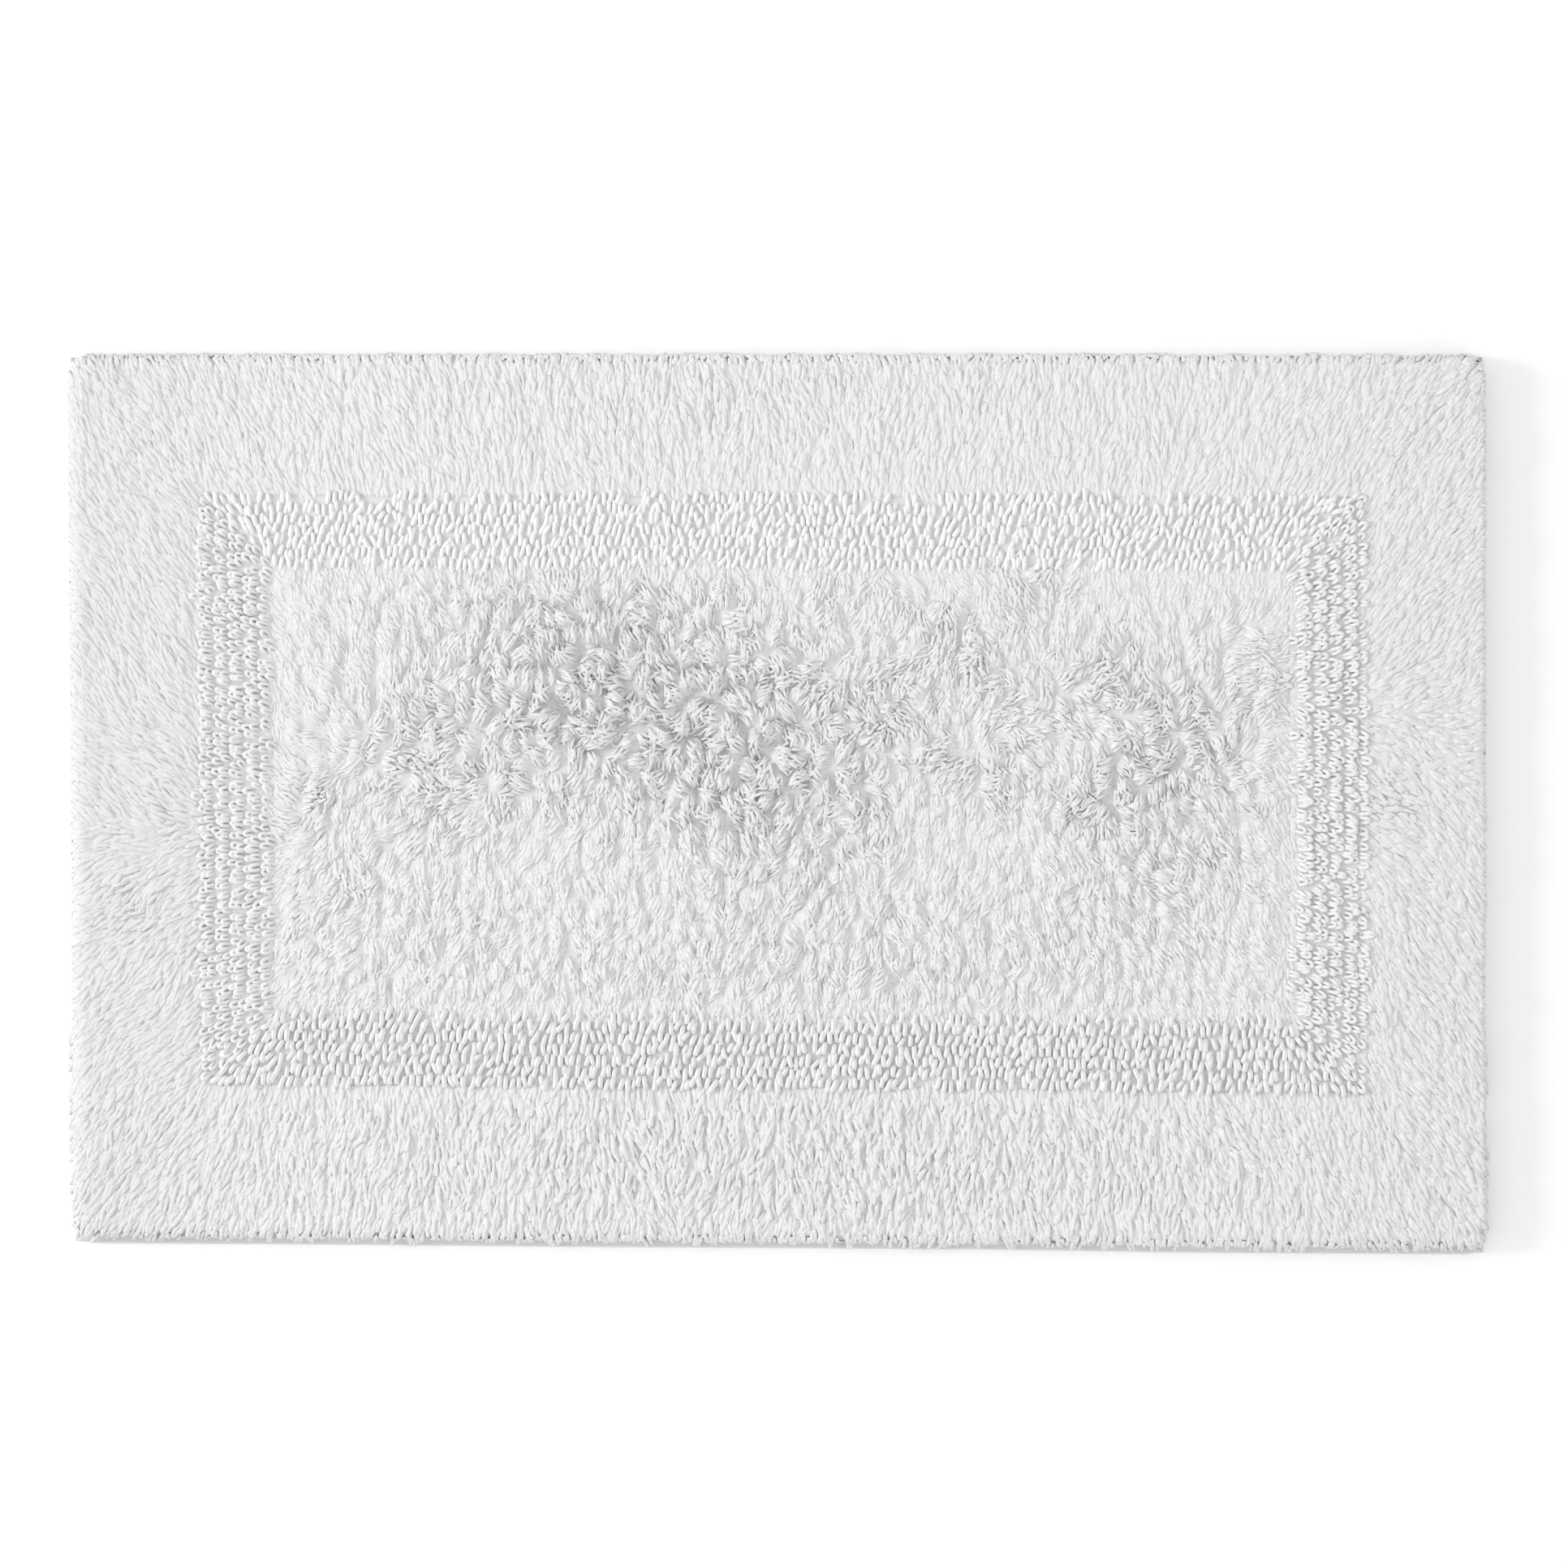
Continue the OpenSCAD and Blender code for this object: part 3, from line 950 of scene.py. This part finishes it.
def stitchPiece(name, side):
    # Each stitch is a short swelling tube that lies along the hem, half sunk in it.
    rng = np.random.default_rng(stitch["seed"] + sides.index(side))
    alongX = side in ("front", "back")
    half = halfLength if alongX else halfWidth
    out = (halfWidth if alongX else halfLength) - stitch["inset"]
    place = np.arange(-half + stitch["endGap"], half - stitch["endGap"] - stitch["pitch"], stitch["pitch"])
    count = len(place)
    share = np.array(stitch["rings"])
    run = place[:, None] + stitch["length"] * share[None, :]
    slant = rng.normal(0, stitch["slant"], count)[:, None] * (share - 0.5)[None, :]
    angle = np.arange(stitch["around"]) * 2 * math.pi / stitch["around"]
    swell = np.array(stitch["swell"])
    offset = stitch["width"] / 2 * swell[None, :, None] * np.cos(angle)[None, None, :] + slant[..., None]
    height = stitch["depth"] / 2 * (1 + swell[None, :, None] * np.sin(angle)[None, None, :])
    run = np.broadcast_to(run[..., None], (count, len(share), stitch["around"]))
    offset = np.broadcast_to(offset, run.shape)
    height = np.broadcast_to(height, run.shape) - stitch["proud"]
    sign = {"front": (1, -1), "back": (-1, 1), "right": (1, 1), "left": (-1, -1)}[side]
    if alongX:
        points = np.stack([sign[0] * run, sign[1] * (out + offset), height], axis=-1)
    else:
        points = np.stack([sign[0] * (out + offset), sign[1] * run, height], axis=-1)
    rings, around = len(share), stitch["around"]
    along = np.broadcast_to(share * stitch["length"] / stitch["width"], (count, rings))
    return tubePiece(name, points, count, rings, around, along)


# Materials

def newMaterial(name):
    material = bpy.data.materials.new(name)
    material.use_nodes = True
    nodes = material.node_tree.nodes
    return material, nodes, material.node_tree.links, nodes["Principled BSDF"]


def setInputs(node, values):
    for key, value in values.items():
        node.inputs[key].default_value = value


def startGroup(name, given, wanted):
    # A node group with its sockets, the piece's own map, and a function that adds a maths node.
    group = bpy.data.node_groups.new(name, "ShaderNodeTree")
    for key, value in given.items():
        kind = "NodeSocketColor" if isinstance(value, tuple) else "NodeSocketFloat"
        group.interface.new_socket(key, in_out="INPUT", socket_type=kind).default_value = value
    for key, kind in wanted.items():
        group.interface.new_socket(key, in_out="OUTPUT", socket_type=kind)
    nodes, links = group.nodes, group.links
    start = nodes.new("NodeGroupInput")
    result = nodes.new("NodeGroupOutput")
    uv = nodes.new("ShaderNodeUVMap")
    uv.uv_map = "yarn"
    parts = nodes.new("ShaderNodeSeparateXYZ")
    links.new(uv.outputs["UV"], parts.inputs[0])

    def maths(operation, *values):
        node = nodes.new("ShaderNodeMath")
        node.operation = operation
        for index, value in enumerate(values):
            if isinstance(value, (int, float)):
                node.inputs[index].default_value = value
            else:
                links.new(value, node.inputs[index])
        return node.outputs[0]

    return group, start, result, uv, parts, maths


def dimmed(group, colour, dim, result):
    shaded = group.nodes.new("ShaderNodeVectorMath")
    shaded.operation = "SCALE"
    group.links.new(colour, shaded.inputs[0])
    group.links.new(dim, shaded.inputs["Scale"])
    group.links.new(shaded.outputs[0], result.inputs["Colour"])


def fibreGroup():
    # Fine fibres along a yarn: noise stretched along v, with a slow twist that moves u with v. The colour
    # goes from Root Colour to Tip Colour up the yarn, and varies from one yarn to the next and along it. A
    # root lighter than its tip is painted light, down in the gaps between the strands.
    group, given, result, uv, parts, maths = startGroup("cottonFibres", {
        "Root Colour": (0.7, 0.7, 0.69, 1),
        "Tip Colour": (0.9, 0.9, 0.89, 1),
        "Fibres": 7.0,
        "Twist": 0.1,
        "Ply Depth": 0.0,
        "Variation": 0.06,
    }, {"Colour": "NodeSocketColor", "Height": "NodeSocketFloat", "Roughness": "NodeSocketFloat"})
    nodes, links = group.nodes, group.links
    twisted = maths("MULTIPLY_ADD", parts.outputs["Y"], given.outputs["Twist"], parts.outputs["X"])
    place = nodes.new("ShaderNodeCombineXYZ")
    links.new(maths("MULTIPLY", twisted, given.outputs["Fibres"]), place.inputs[0])
    links.new(maths("MULTIPLY", parts.outputs["Y"], 0.35), place.inputs[1])
    noise = nodes.new("ShaderNodeTexNoise")
    setInputs(noise, {"Scale": 1.0, "Detail": 2.0, "Roughness": 0.55})
    links.new(place.outputs[0], noise.inputs["Vector"])
    ply = maths("ABSOLUTE", maths("SINE", maths("MULTIPLY", twisted, 2 * math.pi)))
    height = maths("MULTIPLY_ADD", ply, given.outputs["Ply Depth"], noise.outputs["Fac"])
    links.new(height, result.inputs["Height"])

    toneAndShade = nodes.new("ShaderNodeAttribute")
    toneAndShade.attribute_name = "toneAndShade"
    tall = nodes.new("ShaderNodeAttribute")
    tall.attribute_name = "height"
    # 0 at the root, which has the painted light of Root Colour, to 1 a little way up
    rootLightFade = nodes.new("ShaderNodeMapRange")
    setInputs(rootLightFade, {"From Min": 0.1, "From Max": 0.5})
    links.new(tall.outputs["Fac"], rootLightFade.inputs["Value"])
    colour = nodes.new("ShaderNodeMix")
    colour.data_type = "RGBA"
    links.new(rootLightFade.outputs["Result"], colour.inputs["Factor"])
    links.new(given.outputs["Root Colour"], colour.inputs["A"])
    links.new(given.outputs["Tip Colour"], colour.inputs["B"])
    # the attribute holds each yarn's random lightness plus painted shade and light; the more it is, the
    # darker the colour
    mixed = maths("ADD", toneAndShade.outputs["Fac"], noise.outputs["Fac"])
    less = maths("MULTIPLY", mixed, given.outputs["Variation"])
    dimmed(group, colour.outputs["Result"], maths("SUBTRACT", 1.0, less), result)
    links.new(maths("MULTIPLY_ADD", noise.outputs["Fac"], 0.2, 0.78), result.inputs["Roughness"])
    return group


def weaveGroup():
    # Plain weave on the piece's own map in millimetres: a warp thread shows where sin x sin y is above 0
    # and a weft thread elsewhere. Each is rounded by its own |sin|, and dips a little with the other's.
    group, given, result, uv, parts, maths = startGroup("plainWeave", {
        "Colour": (0.86, 0.86, 0.85, 1),
        "Thread Width": 0.55,
        "Variation": 0.1,
    }, {"Colour": "NodeSocketColor", "Height": "NodeSocketFloat"})
    nodes, links = group.nodes, group.links

    def threadHeight(across, along):
        dip = maths("ADD", 0.6, maths("MULTIPLY", maths("ABSOLUTE", along), 0.4))
        return maths("MULTIPLY", maths("ABSOLUTE", across), dip)

    scale = maths("DIVIDE", math.pi, given.outputs["Thread Width"])
    sinX = maths("SINE", maths("MULTIPLY", parts.outputs["X"], scale))
    sinY = maths("SINE", maths("MULTIPLY", parts.outputs["Y"], scale))
    over = maths("GREATER_THAN", maths("MULTIPLY", sinX, sinY), 0.0)
    warp = maths("MULTIPLY", threadHeight(sinX, sinY), over)
    weft = maths("MULTIPLY", threadHeight(sinY, sinX), maths("SUBTRACT", 1.0, over))
    height = maths("ADD", warp, weft)
    links.new(height, result.inputs["Height"])
    noise = nodes.new("ShaderNodeTexNoise")
    setInputs(noise, {"Scale": 0.8, "Detail": 3.0})
    links.new(uv.outputs["UV"], noise.inputs["Vector"])
    # painted shade: the colour is darker where the weave is low, between the threads
    low = maths("MULTIPLY", maths("SUBTRACT", 1.0, height), given.outputs["Variation"])
    slub = maths("MULTIPLY", noise.outputs["Fac"], given.outputs["Variation"])
    dimmed(group, given.outputs["Colour"], maths("SUBTRACT", 1.0, maths("ADD", low, slub)), result)
    return group


def bumped(nodes, links, shader, height, depth):
    bump = nodes.new("ShaderNodeBump")
    setInputs(bump, {"Strength": 1.0, "Distance": depth})
    links.new(height, bump.inputs["Height"])
    links.new(bump.outputs["Normal"], shader.inputs["Normal"])


yarnFinish = {
    # root is coloured lighter than tip: painted light at the foot of each yarn, down in the gaps between
    # strands and loops; the thread has none
    "cutPile": dict(root=0.79, tip=0.73, fibres=7, twist=0.05, ply=0.0, variation=0.03, depth=0.16 * mm),
    "loopPile": dict(root=0.85, tip=0.79, fibres=9, twist=0.3, ply=0.5, variation=0.03, depth=0.16 * mm),
    "thread": dict(root=0.9, tip=0.9, fibres=6, twist=0.6, ply=1.0, variation=0.05, depth=0.08 * mm),
}
fibres = fibreGroup()
weave = weaveGroup()


def yarnMaterial(name, finish):
    material, nodes, links, shader = newMaterial(name)
    group = nodes.new("ShaderNodeGroup")
    group.node_tree = fibres
    root, tip = finish["root"], finish["tip"]
    setInputs(group, {
        "Root Colour": (root, root, root * 0.99, 1),
        "Tip Colour": (tip, tip, tip * 0.993, 1),
        "Fibres": finish["fibres"],
        "Twist": finish["twist"],
        "Ply Depth": finish["ply"],
        "Variation": finish["variation"],
    })
    links.new(group.outputs["Colour"], shader.inputs["Base Color"])
    links.new(group.outputs["Roughness"], shader.inputs["Roughness"])
    setInputs(shader, {"Specular IOR Level": 0.25, "Sheen Weight": 0.15, "Sheen Roughness": 0.6})
    bumped(nodes, links, shader, group.outputs["Height"], finish["depth"])
    return material


def clothMaterial(name, colour, threadWidth):
    material, nodes, links, shader = newMaterial(name)
    group = nodes.new("ShaderNodeGroup")
    group.node_tree = weave
    setInputs(group, {"Colour": (*colour, 1), "Thread Width": threadWidth})
    links.new(group.outputs["Colour"], shader.inputs["Base Color"])
    setInputs(shader, {"Roughness": 0.9, "Specular IOR Level": 0.25, "Sheen Weight": 0.1})
    bumped(nodes, links, shader, group.outputs["Height"], 0.12 * mm)
    return material


def latexMaterial(name):
    # Cream rubber that has soaked into the yarn: soft blotches, and fine pits in its skin.
    material, nodes, links, shader = newMaterial(name)
    place = nodes.new("ShaderNodeTexCoord")
    blotch = nodes.new("ShaderNodeTexNoise")
    setInputs(blotch, {"Scale": 60, "Detail": 4})
    links.new(place.outputs["Object"], blotch.inputs["Vector"])
    colours = nodes.new("ShaderNodeValToRGB")
    colours.color_ramp.elements[0].position = 0.35
    colours.color_ramp.elements[0].color = (0.78, 0.75, 0.66, 1)
    colours.color_ramp.elements[1].position = 0.7
    colours.color_ramp.elements[1].color = (0.87, 0.85, 0.78, 1)
    links.new(blotch.outputs["Fac"], colours.inputs["Fac"])
    links.new(colours.outputs["Color"], shader.inputs["Base Color"])
    pits = nodes.new("ShaderNodeTexVoronoi")
    pits.inputs["Scale"].default_value = 700
    links.new(place.outputs["Object"], pits.inputs["Vector"])
    shader.inputs["Roughness"].default_value = 0.55
    bumped(nodes, links, shader, pits.outputs["Distance"], 0.15 * mm)
    return material


def floorMaterial():
    material, _, _, shader = newMaterial("paleFloor")
    setInputs(shader, {"Base Color": (0.93, 0.93, 0.93, 1), "Roughness": 0.9, "Specular IOR Level": 0.1})
    return material


cutYarn = yarnMaterial("cutPileYarn", yarnFinish["cutPile"])
loopYarn = yarnMaterial("loopPileYarn", yarnFinish["loopPile"])
thread = yarnMaterial("stitchThread", yarnFinish["thread"])
backingWeave = clothMaterial("backingWeave", (0.84, 0.84, 0.82), 0.7)
hemWeave = clothMaterial("hemWeave", (0.82, 0.82, 0.81), 0.5)
latexSkin = latexMaterial("latexSkin")
print("materials made")


# Building the mat

made = []


def finish(piece, material, slotName, *nodes):
    piece.data.materials.append(material)
    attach(piece, "root")
    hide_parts(*nodes)
    made.append(piece)
    return piece


centreStrips = 6  # pieces that the centre's strands are shared between


def buildCentre():
    rng = np.random.default_rng(centrePile["seed"])
    past = centrePile["past"]
    wide = grow(bandInner, foot["stray"] + past)
    x, y = scatter(wide, centrePile["pitch"], centrePile["jitter"], rng)
    kept = inside(*stray(x, y), grow(bandInner, past))
    x, y = x[kept], y[kept]
    strip = ((x - wide[0]) / (wide[2] - wide[0]) * centreStrips).astype(int)
    for number in range(centreStrips):
        chosen = strip == number
        name = f"cut_pile_centre_{number + 1}"
        seed = centrePile["seed"] * 10 + number
        piece = strandPiece(name, x[chosen], y[chosen], centrePile, "centre", seed)
        finish(piece, cutYarn, "cut_pile", "cut_pile_centre")
    foots = footPiece("cut_pile_centre_foot", rectCorners(bandInner), "centre")
    finish(foots, cutYarn, "cut_pile", "cut_pile_centre")
    print("centre:", len(x), "strands")


def buildBorder():
    rng = np.random.default_rng(borderPile["seed"])
    x, y = scatter(footRect, borderPile["pitch"], borderPile["jitter"], rng)
    kept = (edgeDistance(x, y) > 0) & ~inside(*stray(x, y), grow(bandOuter, -borderPile["under"]))
    x, y = x[kept], y[kept]
    where = sideOf(x, y, matRect, bandOuter)
    for number, side in enumerate(sides):
        node = f"cut_pile_border_{side}"
        parts = [("_1", x < 0), ("_2", x >= 0)] if side in ("front", "back") else [("_1", x == x)]
        for part, (ending, half) in enumerate(parts):
            chosen = (where == number) & half
            seed = borderPile["seed"] * 100 + number * 10 + part
            piece = strandPiece(node + ending, x[chosen], y[chosen], borderPile, side, seed)
            finish(piece, cutYarn, "cut_pile", node)
        foots = footPiece(node + "_foot", quadCorners(side, footRect, bandOuter), side)
        finish(foots, cutYarn, "cut_pile", node)
    print("border:", len(x), "strands")


def buildLoops():
    for side in sides:
        node = f"loop_pile_{side}"
        finish(loopPiece(node + "_loops", side, loopKinds[side]), loopYarn, "loop_pile", node)
        foots = footPiece(node + "_foot", quadCorners(side, bandOuter, bandInner), "loops")
        finish(foots, loopYarn, "loop_pile", node)
    print("loops made")


def buildBacking():
    latexPart = finish(latexPiece("latex_coating_skin"), latexSkin, "latex_coating", "latex_coating")
    for side in sides:
        finish(hemPiece(f"hem_{side}_fold", side), hemWeave, "hem_cloth", f"hem_{side}")
        node = f"hem_stitching_{side}"
        finish(stitchPiece(node + "_thread", side), thread, "stitch_thread", node)
    sheet = finish(clothPiece("backing_cloth_sheet"), backingWeave, "backing_cloth", "backing_cloth")
    print("backing made")


buildCentre()
buildBorder()
buildLoops()
buildBacking()


# Floor and light

studio = {
    "sky": 0.99,
    "keyPower": 114.0,
    "keySize": 1.35,
    "keyDistance": 5.0,
    "keyHeight": 25,  # degrees above the floor
    "floorReach": 12,
    "keyTurn": 174,  # degrees round from +X, so that it stands to the left and a little to the back
}


def addStudio():
    floorMesh = bpy.data.meshes.new("floor")
    reach = studio["floorReach"]
    square = [(x, y, 0) for x, y in rectCorners((-reach, -reach, reach, reach))]
    floorMesh.from_pydata(square, [], [(0, 1, 2, 3)])
    floor = bpy.data.objects.new("floor", floorMesh)
    bpy.context.collection.objects.link(floor)
    floor.data.materials.append(floorMaterial())
    world = bpy.data.worlds.new("studioSky")
    world.use_nodes = True
    sky = world.node_tree.nodes["Background"]
    sky.inputs["Color"].default_value = (1, 1, 1, 1)
    sky.inputs["Strength"].default_value = studio["sky"]
    bpy.context.scene.world = world
    key = bpy.data.objects.new("keyLight", bpy.data.lights.new("keyLight", "AREA"))
    key.data.shape = "SQUARE"
    key.data.size = studio["keySize"]
    key.data.energy = studio["keyPower"]
    turn, rise = math.radians(studio["keyTurn"]), math.radians(studio["keyHeight"])
    far = studio["keyDistance"]
    level = far * math.cos(rise)
    key.location = (level * math.cos(turn), level * math.sin(turn), far * math.sin(rise))
    key.rotation_euler = (-key.location).to_track_quat("-Z", "Y").to_euler()
    bpy.context.collection.objects.link(key)
    bpy.context.scene.view_settings.view_transform = "Standard"


addStudio()
triangles = sum(len(p.data.loops) - 2 * len(p.data.polygons) for p in made)
print("pieces:", len(made), "triangles:", triangles)
